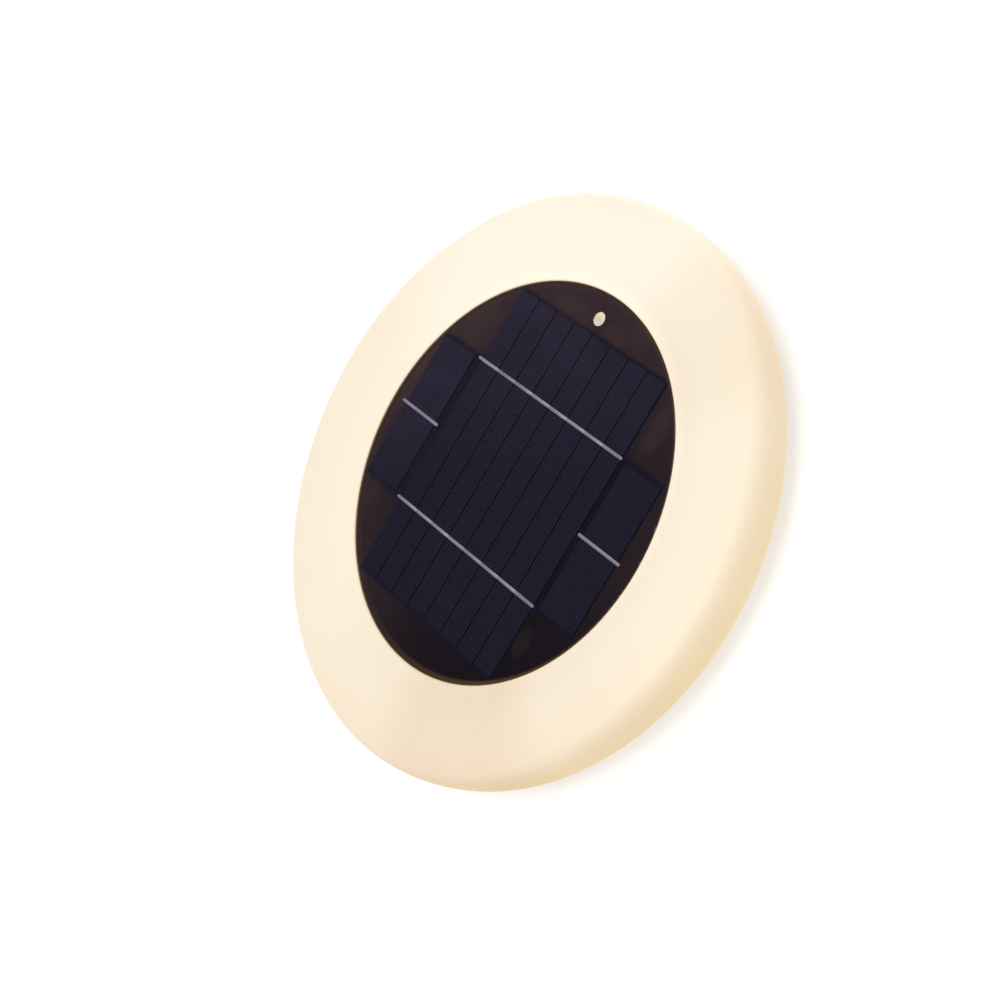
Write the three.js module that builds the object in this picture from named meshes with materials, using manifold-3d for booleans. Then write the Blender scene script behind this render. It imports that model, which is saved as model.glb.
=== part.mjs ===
// Solar floating pool light: a glowing polyethylene ring with a round solar panel let into its top,
// closed underneath by a screwed cover that carries the battery, the electronics, a power button
// and a charging port with a screw cap.
// Millimetres, +Z up, z = 0 on the surface the light stands on, axis of the disc on x = y = 0.
// The cell strips run along X, and the button and the charging port lie towards -Y.
import * as THREE from "three";
import { mergeVertices } from "three/addons/utils/BufferGeometryUtils.js";
import Module from "manifold-3d";

const wasm = await Module();
wasm.setup();

// ---- driving dimensions -------------------------------------------------------------------------

const BODY_R = 145;
const BASE_Z = 3; // underside of the shell, held up by the feet
const WAIST_Z = 26; // height of the widest ring
const CREST_Z = 41; // highest ring
const CREST_R = 118;
const BASE_R = 121; // where the flat underside starts to curve up
const WALL = 3;
const UPPER_CORNER = 0.88; // how square the section's corners are: 0.55 is a quarter ellipse
const LOWER_CORNER = 0.61;

const PANEL_R = 98.4;
const PANEL_Z = 37; // top of the clear laminate
const LAMINATE_T = 0.8;
const RIBBON_T = 0.2;
const CELL_T = 0.4;
const BACKING_T = 1.6;
const SEAL_T = 1;
const GAP = 0.3; // clearance between two pieces that touch
const EDGE = 0.4; // broken edges
const PAST = 1; // how far a cutter reaches past the face that it opens
const BITE = 0.5; // how far joined solids reach into each other

const STRIP = { length: 156.8, pitch: 14.2, slit: 0.6, count: 8, block_y: 1.8 };
const SIDE_CELL = { length: 78, width: 25.8 };
const SIDE_CELL_Y = { rear: 76.9, front: -71.8 };
const RIBBON = { width: 1.8, past_front: 1, past_rear: 2.2, past_side_cell: 2.8 };
const WINDOW = { x: 86.2, y: 1.5, radius: 3.4 };
const RECEIVER = { width: 5.6, depth: 7, height: 5, drop: 8, lens: 2.2 };

const COVER_R = 89.6;
const COVER_Z = 4; // outer face of the cover, set back from the underside
const COVER_T = 3.2;
const COVER_DISH = { radius: 62, rise: 0.6, slope: 2 }; // the shallow middle of its outer face
const COVER_RIB = { inner: 74, outer: 76, height: 4 };
const GASKET_T = 0.8;
const OPENING_R = 77; // hole in the shell's underside
const SCREW = { circle: 85, count: 6, boss: 4, shaft: 1.1, head: 2.8, head_t: 1.4, tip_z: 15 };
const FOOT = { circle: 106, count: 4, radius: 8, pocket: 1, chamfer: 1 };

const PORT = { x: -17, y: -45, recess: 9.9, floor_z: 9.6, collar: 12, top_z: 14.8 };
const THREAD = { core: 5.6, crest: 6.4, pitch: 2, turns: 2, sides: 16, play: 0.35 };
const THREAD_START = PORT.floor_z + 0.9;
const CAP = { slot: 13, slot_width: 2.2, flutes: 12, flute: 1.1, seal_circle: 7.4, seal: 0.8 };
const BUTTON = { x: 17, y: -45, radius: 6.8, flange: 9, flange_t: 1.2, stem: 2.5, dish: 10.6 };
const SWITCH = { width: 6.2, height: 3.5, plunger: 1.6, plunger_length: 2.4 };
const JACK = { radius: 4.6, bore: 2.7, depth: 4.4, pin: 0.9 };

const CHASSIS = { radius: 72.5, plate: 1.5, drum: 65.6, drum_t: 2.2, drum_top: 25 };
const CHASSIS_SCREW = { circle: 54, count: 3, first: 0.75, boss: 3.2, shaft: 1.1, head: 4.8, head_t: 1.5 };
const BATTERY = { radius: 9.2, length: 65, button: 3, button_length: 1.6 };
const BOARD = { width: 54, depth: 19, y: -45.5, z: 21, thickness: 1.6 };
const LED = { count: 8, width: 5, height: 5, depth: 1.6, z: 18.5 };
const LEAD_R = 0.8;

// Heights that follow from the stack of the panel and of the base.
const LAMINATE_Z = PANEL_Z - LAMINATE_T;
const RIBBON_Z = LAMINATE_Z - GAP - RIBBON_T;
const CELL_Z = RIBBON_Z - GAP - CELL_T;
const BACKING_Z = CELL_Z - GAP - BACKING_T;
const SEAT_Z = BACKING_Z - SEAL_T - 2 * GAP;
const SEAT_R = 91;
const RECESS_R = PANEL_R + GAP;
const REBATE_R = COVER_R + 0.4;
const COVER_TOP = COVER_Z + COVER_T;
const LEDGE_Z = COVER_TOP + GASKET_T + 2 * GAP;
const PLATE_Z = COVER_TOP + GAP;
const PLATE_TOP = PLATE_Z + CHASSIS.plate;
const BATTERY_Z = PLATE_TOP + GAP + BATTERY.radius;
const STRIP_R = CHASSIS.drum + GAP; // inner radius of the lamps' strip

const BIG_ROUND = 48; // sides of the large rings
const MID_ROUND = 20; // sides of the cap, the button and their seats
const SMALL_ROUND = 12; // sides of screws, bosses and posts

// ---- materials ----------------------------------------------------------------------------------

function material(color, roughness, metalness = 0) {
  return new THREE.MeshStandardMaterial({ color, roughness, metalness });
}

const MATERIALS = {
  glow_shell: material(0xfdf0d8, 0.45),
  laminate: material(0xdfe6ee, 0.08),
  silicon: material(0x262432, 0.3),
  backing: material(0x2b2024, 0.5),
  ribbon: material(0xb4b2c2, 0.3, 0.9),
  milky: material(0xebe4e1, 0.3),
  rubber: material(0x2a2a2c, 0.8),
  cover: material(0xf1ece0, 0.5),
  steel: material(0xb9bbbd, 0.3, 1),
  chassis: material(0xe8e6e0, 0.6),
  board: material(0x1f5a38, 0.5),
  board_white: material(0xf4f4f0, 0.5),
  led: material(0xfff0c0, 0.3),
  black_plastic: material(0x1d1d1f, 0.5),
  battery: material(0x2f6f9f, 0.4),
  button: material(0x8b8f93, 0.7),
  lead_red: material(0xb3261e, 0.5),
  lead_black: material(0x1b1b1b, 0.5),
};

// ---- geometry helpers ---------------------------------------------------------------------------

const range = (count) => Array.from({ length: count }, (_, i) => i);
const polar = (radius, angle) => [radius * Math.cos(angle), radius * Math.sin(angle)];
const turn = (index, count) => (index / count) * 2 * Math.PI;

// Centres of pieces spaced evenly round a circle; first is the share of a step before the first one.
const spots = ({ circle, count }, first = 0) =>
  range(count).map((i) => polar(circle, turn(i + first, count)));

// A ring or disc turned about Z from a profile of [radius, z] points that runs anticlockwise,
// from axis to axis or all the way round.
function turned(profile, sides = SMALL_ROUND) {
  const points = profile.map(([r, z]) => new THREE.Vector2(r, z));
  if (profile[0][0] > 0) points.push(points[0].clone());
  return new THREE.LatheGeometry(points, sides).rotateX(Math.PI / 2);
}

const rod = (radius, z0, z1, sides = SMALL_ROUND) =>
  turned([[0, z0], [radius, z0], [radius, z1], [0, z1]], sides);

const ring = (inner, outer, z0, z1, sides = BIG_ROUND) =>
  turned([[inner, z0], [outer, z0], [outer, z1], [inner, z1]], sides);

const box = (width, depth, height, z0) =>
  new THREE.BoxGeometry(width, depth, height).translate(0, 0, z0 + height / 2);

// A flat plate of the given outline from z0 up, with its edges broken by a small bevel.
function plate(shape, z0, thickness, bevel = 0, sides = BIG_ROUND / 2) {
  const geometry = new THREE.ExtrudeGeometry(shape, {
    depth: thickness - 2 * bevel,
    bevelEnabled: bevel > 0,
    bevelThickness: bevel,
    bevelSize: bevel,
    bevelOffset: -bevel,
    bevelSegments: 1,
    curveSegments: sides,
  });
  return geometry.translate(0, 0, z0 + bevel);
}

const disc = (radius) => new THREE.Shape().absarc(0, 0, radius, 0, 2 * Math.PI);

function withHole(shape, x, y, radius) {
  shape.holes.push(new THREE.Path().absarc(x, y, radius, 0, 2 * Math.PI));
  return shape;
}

// A round lead along a smooth curve through its points.
function lead(points, radius = LEAD_R, sides = 6) {
  const path = new THREE.CatmullRomCurve3(points.map((p) => new THREE.Vector3(...p)));
  const corners = range(sides).map((i) => new THREE.Vector2(...polar(radius, turn(i, sides))));
  const steps = 3 * (points.length - 1);
  const settings = { steps, bevelEnabled: false, extrudePath: path };
  return new THREE.ExtrudeGeometry(new THREE.Shape(corners), settings);
}

// Closed geometry to a manifold solid and back, for joining and cutting.
function solid(geometry) {
  const source = geometry.index ? geometry.toNonIndexed() : geometry.clone();
  const bare = new THREE.BufferGeometry();
  bare.setAttribute("position", source.getAttribute("position"));
  const merged = mergeVertices(bare, 1e-4);
  return new wasm.Manifold(
    new wasm.Mesh({
      numProp: 3,
      vertProperties: merged.attributes.position.array,
      triVerts: new Uint32Array(merged.index.array),
    }),
  );
}

function geometryOf(manifold) {
  const mesh = manifold.getMesh();
  const geometry = new THREE.BufferGeometry();
  geometry.setAttribute("position", new THREE.BufferAttribute(mesh.vertProperties, 3));
  geometry.setIndex(new THREE.BufferAttribute(mesh.triVerts, 1));
  const flat = geometry.toNonIndexed();
  flat.computeVertexNormals();
  return flat;
}

function shaped(base, added, cut) {
  let body = solid(base);
  for (const geometry of added) body = body.add(solid(geometry));
  for (const geometry of cut) body = body.subtract(solid(geometry));
  return geometryOf(body);
}

const light = new THREE.Group();

function part(name, geometry, materialName, x = 0, y = 0, z = 0) {
  const mesh = new THREE.Mesh(geometry, MATERIALS[materialName]);
  mesh.name = name;
  mesh.position.set(x, y, z);
  light.add(mesh);
  return mesh;
}

// ---- the glowing shell --------------------------------------------------------------------------

// Adds a rounded corner from the outline's current point to (r1, z1). The curve leaves and arrives
// square to the axes; upright says that it leaves vertically.
function corner(outline, r1, z1, reach, upright) {
  const { x: r0, y: z0 } = outline.currentPoint;
  const [dr, dz] = [(r1 - r0) * reach, (z1 - z0) * reach];
  if (upright) outline.bezierCurveTo(r0, z0 + dz, r1 - dr, z1, r1, z1);
  else outline.bezierCurveTo(r0 + dr, z0, r1, z1 - dz, r1, z1);
}

// Half section of the ring: a flat underside with a rebate for the cover, a full round rim,
// a gently crowned top, and a recess with a seat for the panel.
function shellSection() {
  const outline = new THREE.Shape();
  outline.moveTo(OPENING_R, LEDGE_Z);
  outline.lineTo(REBATE_R, LEDGE_Z);
  outline.lineTo(REBATE_R, BASE_Z + 2 * EDGE);
  outline.lineTo(REBATE_R + 2 * EDGE, BASE_Z);
  outline.lineTo(BASE_R, BASE_Z);
  corner(outline, BODY_R, WAIST_Z, LOWER_CORNER, false);
  corner(outline, CREST_R, CREST_Z, UPPER_CORNER, true);
  outline.bezierCurveTo(
    CREST_R - 9, CREST_Z, RECESS_R + 6, PANEL_Z + 1.2, RECESS_R + 1, PANEL_Z + 0.4);
  outline.quadraticCurveTo(RECESS_R, PANEL_Z + 0.2, RECESS_R, PANEL_Z - EDGE);
  outline.lineTo(RECESS_R, SEAT_Z);
  outline.lineTo(SEAT_R, SEAT_Z);
  outline.lineTo(SEAT_R, SEAT_Z - WALL);
  outline.lineTo(RECESS_R + WALL, SEAT_Z - WALL);
  outline.lineTo(RECESS_R + WALL, PANEL_Z - 2);
  outline.quadraticCurveTo(CREST_R - 9, CREST_Z - WALL, CREST_R, CREST_Z - WALL);
  corner(outline, BODY_R - WALL, WAIST_Z, UPPER_CORNER, false);
  corner(outline, BASE_R, BASE_Z + WALL, LOWER_CORNER, true);
  outline.lineTo(REBATE_R + WALL, BASE_Z + WALL);
  outline.lineTo(REBATE_R + WALL, LEDGE_Z + WALL);
  outline.lineTo(OPENING_R, LEDGE_Z + WALL);
  return outline.getPoints(4).map((p) => [p.x, p.y]);
}

function addShell() {
  const bosses = spots(SCREW).map(([x, y]) =>
    rod(SCREW.boss, LEDGE_Z + WALL / 2, SCREW.tip_z + 2).translate(x, y, 0));
  const pilots = spots(SCREW).map(([x, y]) =>
    rod(SCREW.shaft + GAP, LEDGE_Z - PAST, SCREW.tip_z + GAP).translate(x, y, 0));
  const [pocketFoot, pocketTop] = [BASE_Z - PAST, BASE_Z + FOOT.pocket];
  const pockets = spots(FOOT, 0.5).map(([x, y]) =>
    rod(FOOT.radius + GAP, pocketFoot, pocketTop, MID_ROUND).translate(x, y, 0));
  const shell = turned(shellSection(), BIG_ROUND);
  part("diffuser_shell", shaped(shell, bosses, [...pilots, ...pockets]), "glow_shell");
}

function addFeet() {
  const top = BASE_Z + FOOT.pocket - GAP;
  const { radius, chamfer } = FOOT;
  const profile = [[0, 0], [radius - chamfer, 0], [radius, chamfer], [radius, top], [0, top]];
  spots(FOOT, 0.5).forEach(([x, y], i) => {
    part(`foot_${i + 1}`, turned(profile, MID_ROUND), "rubber", x, y);
  });
}

// ---- the solar panel ----------------------------------------------------------------------------

function addPanel() {
  const hole = WINDOW.radius + GAP;
  const backing = withHole(disc(PANEL_R), WINDOW.x, WINDOW.y, hole);
  const laminate = withHole(disc(PANEL_R), WINDOW.x, WINDOW.y, hole);
  part("panel_backing", plate(backing, BACKING_Z, BACKING_T), "backing");
  part("panel_laminate", plate(laminate, LAMINATE_Z, LAMINATE_T, EDGE / 2), "laminate");
  part("panel_seal", ring(SEAT_R + 1.5, PANEL_R - 1, SEAT_Z + GAP, SEAT_Z + GAP + SEAL_T), "rubber");
  addCells();
  addRibbons();
}

function addCells() {
  const cell = (length, width) => box(length, width, CELL_T, CELL_Z);
  range(STRIP.count).forEach((i) => {
    const y = STRIP.block_y + (i - (STRIP.count - 1) / 2) * STRIP.pitch;
    part(`cell_strip_${i + 1}`, cell(STRIP.length, STRIP.pitch - STRIP.slit), "silicon", 0, y);
  });
  for (const [side, y] of Object.entries(SIDE_CELL_Y)) {
    part(`side_cell_${side}`, cell(SIDE_CELL.length, SIDE_CELL.width), "silicon", 0, y);
  }
}

function addRibbons() {
  const { width, past_front, past_rear, past_side_cell } = RIBBON;
  const ribbon = (length) => box(width, length, RIBBON_T, RIBBON_Z);
  const blockWidth = STRIP.count * STRIP.pitch - STRIP.slit;
  const long = () => ribbon(blockWidth + past_front + past_rear);
  const y = STRIP.block_y + (past_rear - past_front) / 2;
  part("ribbon_left", long(), "ribbon", -STRIP.length / 4, y);
  part("ribbon_right", long(), "ribbon", STRIP.length / 4, y);
  for (const [side, cellY] of Object.entries(SIDE_CELL_Y)) {
    part(`side_ribbon_${side}`, ribbon(SIDE_CELL.width + 2 * past_side_cell), "ribbon", 0, cellY);
  }
}

// The milky window in the panel's margin, and the remote-control receiver that looks through it.
function addReceiver() {
  const r = WINDOW.radius;
  const top = PANEL_Z + 0.1;
  const foot = BACKING_Z + GAP;
  const window = [[0, foot], [r, foot], [r, top - 0.5], [r - 0.5, top - 0.1], [0, top]];
  part("receiver_window", turned(window, MID_ROUND), "milky", WINDOW.x, WINDOW.y);
  const { width, depth, height, drop, lens } = RECEIVER;
  const body = box(width, depth, height, BACKING_Z - drop);
  const dome = new THREE.SphereGeometry(lens, 12, 8).translate(0, 0, BACKING_Z - drop + height);
  part("ir_receiver", shaped(body, [dome], []), "black_plastic", WINDOW.x, WINDOW.y);
}

// ---- the bottom cover ---------------------------------------------------------------------------

// One start of a right-hand thread, as a helical ridge whose flanks taper from root to tip.
function threadRidge(root, tip, rootWidth, tipWidth, z0, turns) {
  const positions = [];
  const steps = turns * THREAD.sides;
  const corners = (i) => {
    const [c, s] = polar(1, turn(i, THREAD.sides));
    const z = z0 + (i / THREAD.sides) * THREAD.pitch;
    return [
      [root * c, root * s, z - rootWidth / 2],
      [tip * c, tip * s, z - tipWidth / 2],
      [tip * c, tip * s, z + tipWidth / 2],
      [root * c, root * s, z + rootWidth / 2],
    ];
  };
  const quad = (a, b, c, d) => positions.push(...a, ...b, ...c, ...a, ...c, ...d);
  range(steps).forEach((i) => {
    const [here, next] = [corners(i), corners(i + 1)];
    range(4).forEach((k) => quad(here[k], next[k], next[(k + 1) % 4], here[(k + 1) % 4]));
  });
  quad(...corners(0));
  quad(...corners(steps).reverse());
  const geometry = new THREE.BufferGeometry();
  return geometry.setAttribute("position", new THREE.Float32BufferAttribute(positions, 3));
}

// The female thread: the bore's plain hole and the helical groove cut into its wall. The groove
// starts a turn lower than the cap's ridge, so that it runs out at the bore's mouth.
function portBore() {
  const { core, crest, pitch, play, turns } = THREAD;
  const bore = rod(core + play, PORT.floor_z - PAST, PORT.top_z + PAST, THREAD.sides);
  const groove = threadRidge(core, crest + play, 1.9, 1.1, THREAD_START - pitch, turns + 1);
  return [bore, groove];
}

function addBottomCover() {
  const [radius, face, top] = [COVER_R, COVER_Z, COVER_TOP];
  const { inner, outer, height } = COVER_RIB;
  const bevel = COVER_DISH.rise;
  const profile = [
    [0, face + bevel], [COVER_DISH.radius, face + bevel], [COVER_DISH.radius + COVER_DISH.slope, face],
    [radius - bevel, face], [radius, face + bevel], [radius, top], [outer, top], [outer, top + height],
    [inner, top + height], [inner, top], [0, top],
  ];
  const at = (geometry, place) => geometry.translate(place.x, place.y, 0);
  const collar = at(rod(PORT.collar, face + PAST, PORT.top_z, MID_ROUND), PORT);
  const guardR = BUTTON.flange + 0.5;
  const guard = at(ring(guardR, guardR + 1.8, top - PAST, top + 2.4, MID_ROUND), BUTTON);
  const screws = spots(CHASSIS_SCREW, CHASSIS_SCREW.first);
  const chassisBosses = screws.map(([x, y]) =>
    rod(CHASSIS_SCREW.boss, top - PAST, PLATE_TOP).translate(x, y, 0));
  const chassisPilots = screws.map(([x, y]) =>
    rod(CHASSIS_SCREW.shaft + GAP, face + 1.4, PLATE_TOP + PAST).translate(x, y, 0));
  const screwHoles = spots(SCREW).flatMap(([x, y]) => {
    const through = rod(SCREW.shaft + 2 * GAP, face - PAST, top + PAST);
    const counterbore = rod(SCREW.head + GAP, face - PAST, face + SCREW.head_t + GAP);
    return [through.translate(x, y, 0), counterbore.translate(x, y, 0)];
  });
  const recess = at(rod(PORT.recess, face - PAST, PORT.floor_z, MID_ROUND), PORT);
  const bore = portBore().map((geometry) => at(geometry, PORT));
  const buttonHole = at(rod(BUTTON.radius + GAP, face - PAST, top + PAST, MID_ROUND), BUTTON);
  const fingerDish = [
    [0, face - PAST], [BUTTON.dish, face - PAST], [BUTTON.radius + 1.2, face + 1.2], [0, face + 1.2],
  ];
  const buttonDish = at(turned(fingerDish, MID_ROUND), BUTTON);
  const cover = shaped(
    turned(profile, BIG_ROUND),
    [collar, guard, ...chassisBosses],
    [recess, ...bore, buttonHole, buttonDish, ...chassisPilots, ...screwHoles],
  );
  part("bottom_cover", cover, "cover");
  const gasketZ = top + GAP;
  const gasket = ring(outer + 2, outer + 5.4, gasketZ, gasketZ + GASKET_T);
  part("cover_gasket", gasket, "rubber");
}

// A pan-head screw that points up, its head's face at z0 cut with a cross.
function screw({ head, head_t, shaft }, z0, tip) {
  const [under, edge, slotWidth, slotDepth] = [z0 + head_t, 0.5, 0.8, 0.7];
  const profile = [
    [0, z0], [head - edge, z0], [head, z0 + edge], [head, under], [shaft, under],
    [shaft, tip - shaft], [0, tip],
  ];
  const slot = (width, depth) => box(width, depth, slotDepth + PAST, z0 - PAST);
  return shaped(turned(profile), [], [slot(1.3 * head, slotWidth), slot(slotWidth, 1.3 * head)]);
}

function addCoverScrews() {
  spots(SCREW).forEach(([x, y], i) => {
    part(`cover_screw_${i + 1}`, screw(SCREW, COVER_Z, SCREW.tip_z), "steel", x, y);
  });
}

// ---- the charging port's screw cap and the power button -----------------------------------------

function addPortCap() {
  const { core, crest, turns } = THREAD;
  const [face, under] = [COVER_Z + 0.4, PORT.floor_z - 2.2];
  const [tip, edge] = [PORT.top_z - 0.4, 0.6];
  const head = PORT.recess - 0.6;
  const profile = [
    [0, face], [head - edge, face], [head, face + edge], [head, under], [core, under],
    [core, tip - edge], [core - edge, tip], [0, tip],
  ];
  const ridge = threadRidge(core - GAP, crest, 1.3, 0.5, THREAD_START, turns);
  const coinSlot = box(CAP.slot, CAP.slot_width, 1.6 + PAST, face - PAST);
  const flutes = spots({ circle: head + 0.5, count: CAP.flutes }, 0.5).map(([x, y]) =>
    rod(CAP.flute, face - PAST, under + 0.1, 8).translate(x, y, 0));
  const cap = shaped(turned(profile, MID_ROUND), [ridge], [coinSlot, ...flutes]);
  part("port_cap", cap, "button", PORT.x, PORT.y);
  const sealZ = (under + PORT.floor_z) / 2;
  const section = range(8).map((i) => {
    const [r, z] = polar(CAP.seal, turn(i + 0.5, 8));
    return [CAP.seal_circle + r, sealZ + z];
  });
  part("port_o_ring", turned(section, MID_ROUND), "rubber", PORT.x, PORT.y);
}

function addPowerButton() {
  const { x, y, radius, flange, stem } = BUTTON;
  const [face, flangeZ] = [COVER_Z + 0.5, COVER_TOP + GAP];
  const flangeTop = flangeZ + BUTTON.flange_t;
  const switchZ = BOARD.z - GAP - SWITCH.height;
  const plungerZ = switchZ - 1.6;
  const stemTop = plungerZ - GAP;
  const profile = [
    [0, face], [radius - 1.2, face + 0.2], [radius, face + 1], [radius, flangeZ], [flange, flangeZ],
    [flange, flangeTop], [stem, flangeTop], [stem, stemTop], [0, stemTop],
  ];
  part("power_button", turned(profile, MID_ROUND), "button", x, y);
  const plungerTop = plungerZ + SWITCH.plunger_length;
  part("switch_plunger", rod(SWITCH.plunger, plungerZ, plungerTop), "black_plastic", x, y);
  const housing = box(SWITCH.width, SWITCH.width, SWITCH.height, switchZ);
  const well = rod(SWITCH.plunger + 0.35, switchZ - PAST, plungerTop + 1.2);
  part("tact_switch", shaped(housing, [], [well]), "black_plastic", x, y);
}

function addChargingJack() {
  const { radius, bore, depth, pin } = JACK;
  const [mouth, top] = [PORT.top_z + GAP, BOARD.z - GAP];
  const [pinZ, floor] = [mouth + 0.8, mouth + depth];
  const profile = [
    [0, pinZ], [pin, pinZ], [pin, floor], [bore, floor], [bore, mouth],
    [radius, mouth], [radius, top], [0, top],
  ];
  part("charging_jack", turned(profile), "black_plastic", PORT.x, PORT.y);
}

// ---- the chassis and what it carries ------------------------------------------------------------

function addChassis() {
  const screws = spots(CHASSIS_SCREW, CHASSIS_SCREW.first);
  const base = disc(CHASSIS.radius);
  withHole(base, PORT.x, PORT.y, PORT.collar + 0.5);
  withHole(base, BUTTON.x, BUTTON.y, BUTTON.flange + 2.8);
  for (const [x, y] of screws) withHole(base, x, y, CHASSIS_SCREW.boss + GAP);
  const foot = PLATE_TOP - BITE;
  const drum = ring(CHASSIS.drum - CHASSIS.drum_t, CHASSIS.drum, foot, CHASSIS.drum_top);
  const thick = 1.8;
  const stopX = BATTERY.length / 2 + 0.6 + thick / 2;
  const trayWidth = 4 * BATTERY.radius + 3;
  const railY = trayWidth / 2 + BITE;
  const tray = [-1, 1].flatMap((side) => [
    box(thick, trayWidth, 11, foot).translate(side * stopX, 0, 0),
    box(BATTERY.length, thick, 7, foot).translate(0, side * railY, 0),
  ]);
  const posts = [-1, 1].map((side) => rod(2, foot, BOARD.z - GAP).translate(0, BOARD.y + side * 7, 0));
  const chassis = shaped(plate(base, PLATE_Z, CHASSIS.plate), [drum, ...tray, ...posts], []);
  part("chassis", chassis, "chassis");
  const headZ = PLATE_TOP + GAP + CHASSIS_SCREW.head_t;
  screws.forEach(([x, y], i) => {
    part(`chassis_screw_${i + 1}`, screw(CHASSIS_SCREW, 0, 5).rotateX(Math.PI), "steel", x, y, headZ);
  });
}

function addBatteries() {
  const { radius, button, button_length } = BATTERY;
  const [half, edge] = [BATTERY.length / 2, 0.6];
  const shoulder = half - button_length;
  const profile = [
    [0, -half], [radius - edge, -half], [radius, -half + edge], [radius, shoulder - edge],
    [radius - edge, shoulder], [button, shoulder], [button, half], [0, half],
  ];
  [-1, 1].forEach((side, i) => {
    const cell = turned(profile, MID_ROUND).rotateY((side * Math.PI) / 2);
    part(`battery_cell_${i + 1}`, cell, "battery", 0, side * (radius + GAP), BATTERY_Z);
  });
}

function addControlBoard() {
  const { width, depth, y, z, thickness } = BOARD;
  const face = z + thickness - 0.1;
  const processor = box(7, 7, 1.2, face).translate(4, 3, 0);
  const coil = rod(3.4, face, face + 3.1).translate(-12, 2, 0);
  const board = shaped(box(width, depth, thickness, z), [processor, coil], []);
  part("control_board", board, "board", 0, y);
}

function addLamps() {
  const { count, width, height, depth, z } = LED;
  const [stripT, stripHalf] = [0.7, 4];
  const strip = ring(STRIP_R, STRIP_R + stripT, z - stripHalf, z + stripHalf);
  part("led_strip", strip, "board_white");
  const circle = STRIP_R + stripT + GAP + depth / 2;
  spots({ circle, count }, 0.5).forEach(([x, y], i) => {
    const lamp = part(`led_${i + 1}`, new THREE.BoxGeometry(depth, width, height), "led", x, y, z);
    lamp.rotation.z = turn(i + 0.5, count);
  });
}

// Leads held inside the light, from each component to the top of the control board.
function addLeads() {
  const boardTop = BOARD.z + BOARD.thickness + GAP;
  const landing = (x, y) => [[x, y, boardTop + 1.6], [x, y, boardTop]];
  const under = BACKING_Z - GAP;
  const panelLead = (x) =>
    lead([[x, -25, under], [x, -25.2, 30.4], [x, -33, 27.5], [x, -42, 26.5], ...landing(x, -46)]);
  part("panel_lead_red", panelLead(14), "lead_red");
  part("panel_lead_black", panelLead(10.5), "lead_black");
  const battery = [[36.4, -6, 18.4], [37.4, -14, 20], [33, -28, 25], [25, -37, 27], ...landing(22, -41)];
  part("battery_lead", lead(battery), "lead_red");
  const rim = STRIP_R + LEAD_R;
  const led = [[0, -rim, LED.z + 4.3], [0, -rim, 27], [0, -61, 29.2], [0, -54, 27.5],
    ...landing(0, -50)];
  part("led_lead", lead(led), "lead_black");
  const pin = BACKING_Z - RECEIVER.drop - GAP;
  const receiver = [[WINDOW.x, 0, pin], [WINDOW.x - 0.2, -0.2, pin - 1.6], [80, -5, 23.5],
    [70, -10, 27.4], [52, -26, 28.5], [32, -40, 27], ...landing(20, -49)];
  part("receiver_lead", lead(receiver), "lead_black");
}

addShell();
addFeet();
addPanel();
addReceiver();
addBottomCover();
addCoverScrews();
addPortCap();
addPowerButton();
addChargingJack();
addChassis();
addBatteries();
addControlBoard();
addLamps();
addLeads();

export default light;
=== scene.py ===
import math

import bmesh
import bpy
from mathutils import Matrix, Vector


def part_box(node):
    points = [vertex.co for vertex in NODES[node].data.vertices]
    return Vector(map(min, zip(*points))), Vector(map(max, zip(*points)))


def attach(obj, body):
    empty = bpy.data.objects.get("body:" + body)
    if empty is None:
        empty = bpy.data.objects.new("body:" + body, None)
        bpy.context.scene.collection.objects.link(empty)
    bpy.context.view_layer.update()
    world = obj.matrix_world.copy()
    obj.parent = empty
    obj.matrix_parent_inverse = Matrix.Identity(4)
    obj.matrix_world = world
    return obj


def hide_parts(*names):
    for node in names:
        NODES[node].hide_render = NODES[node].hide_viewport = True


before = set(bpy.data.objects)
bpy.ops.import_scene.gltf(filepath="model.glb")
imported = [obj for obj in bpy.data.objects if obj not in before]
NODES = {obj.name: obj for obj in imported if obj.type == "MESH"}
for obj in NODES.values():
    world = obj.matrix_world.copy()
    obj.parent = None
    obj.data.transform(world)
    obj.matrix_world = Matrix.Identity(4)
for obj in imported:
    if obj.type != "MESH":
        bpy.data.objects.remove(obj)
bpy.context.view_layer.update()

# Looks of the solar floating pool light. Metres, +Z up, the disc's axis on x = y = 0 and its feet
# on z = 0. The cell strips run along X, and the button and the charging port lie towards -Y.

MM = 0.001


def low(node):
    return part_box(node)[0]


def high(node):
    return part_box(node)[1]


def centre(node):
    return (low(node) + high(node)) / 2


def axis(node):
    """Where the node's upright middle line stands: x and y in metres."""
    return centre(node).x, centre(node).y


def heights(node):
    """The node's lowest and highest points, in millimetres."""
    return low(node).z / MM, high(node).z / MM


# ---- dimensions, read from the frame -------------------------------------------------------------

BODY_R = high("diffuser_shell").x
BASE_Z = low("diffuser_shell").z
CREST_Z = high("diffuser_shell").z
PANEL_R = high("panel_laminate").x
PANEL_Z = high("panel_laminate").z
COVER_R = high("bottom_cover").x
COVER_Z = low("bottom_cover").z
GASKET_LOW = low("cover_gasket").z
STRIP_COUNT = 8
STRIPS = [f"cell_strip_{i + 1}" for i in range(STRIP_COUNT)]
SIDE_CELLS = ["side_cell_rear", "side_cell_front"]
BLOCK_Y = (low(STRIPS[0]).y + high(STRIPS[-1]).y) / 2
STRIP_PITCH = (low(STRIPS[-1]).y - low(STRIPS[0]).y) / (STRIP_COUNT - 1)
STRIP_HALF = high(STRIPS[0]).x
SIDE_HALF = high(SIDE_CELLS[0]).x
BLOCK_HALF = (high(STRIPS[-1]).y - low(STRIPS[0]).y) / 2
OUTER_Y = (high("side_cell_rear").y + low("side_cell_front").y) / 2
OUTER_HALF = (high("side_cell_rear").y - low("side_cell_front").y) / 2
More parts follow.
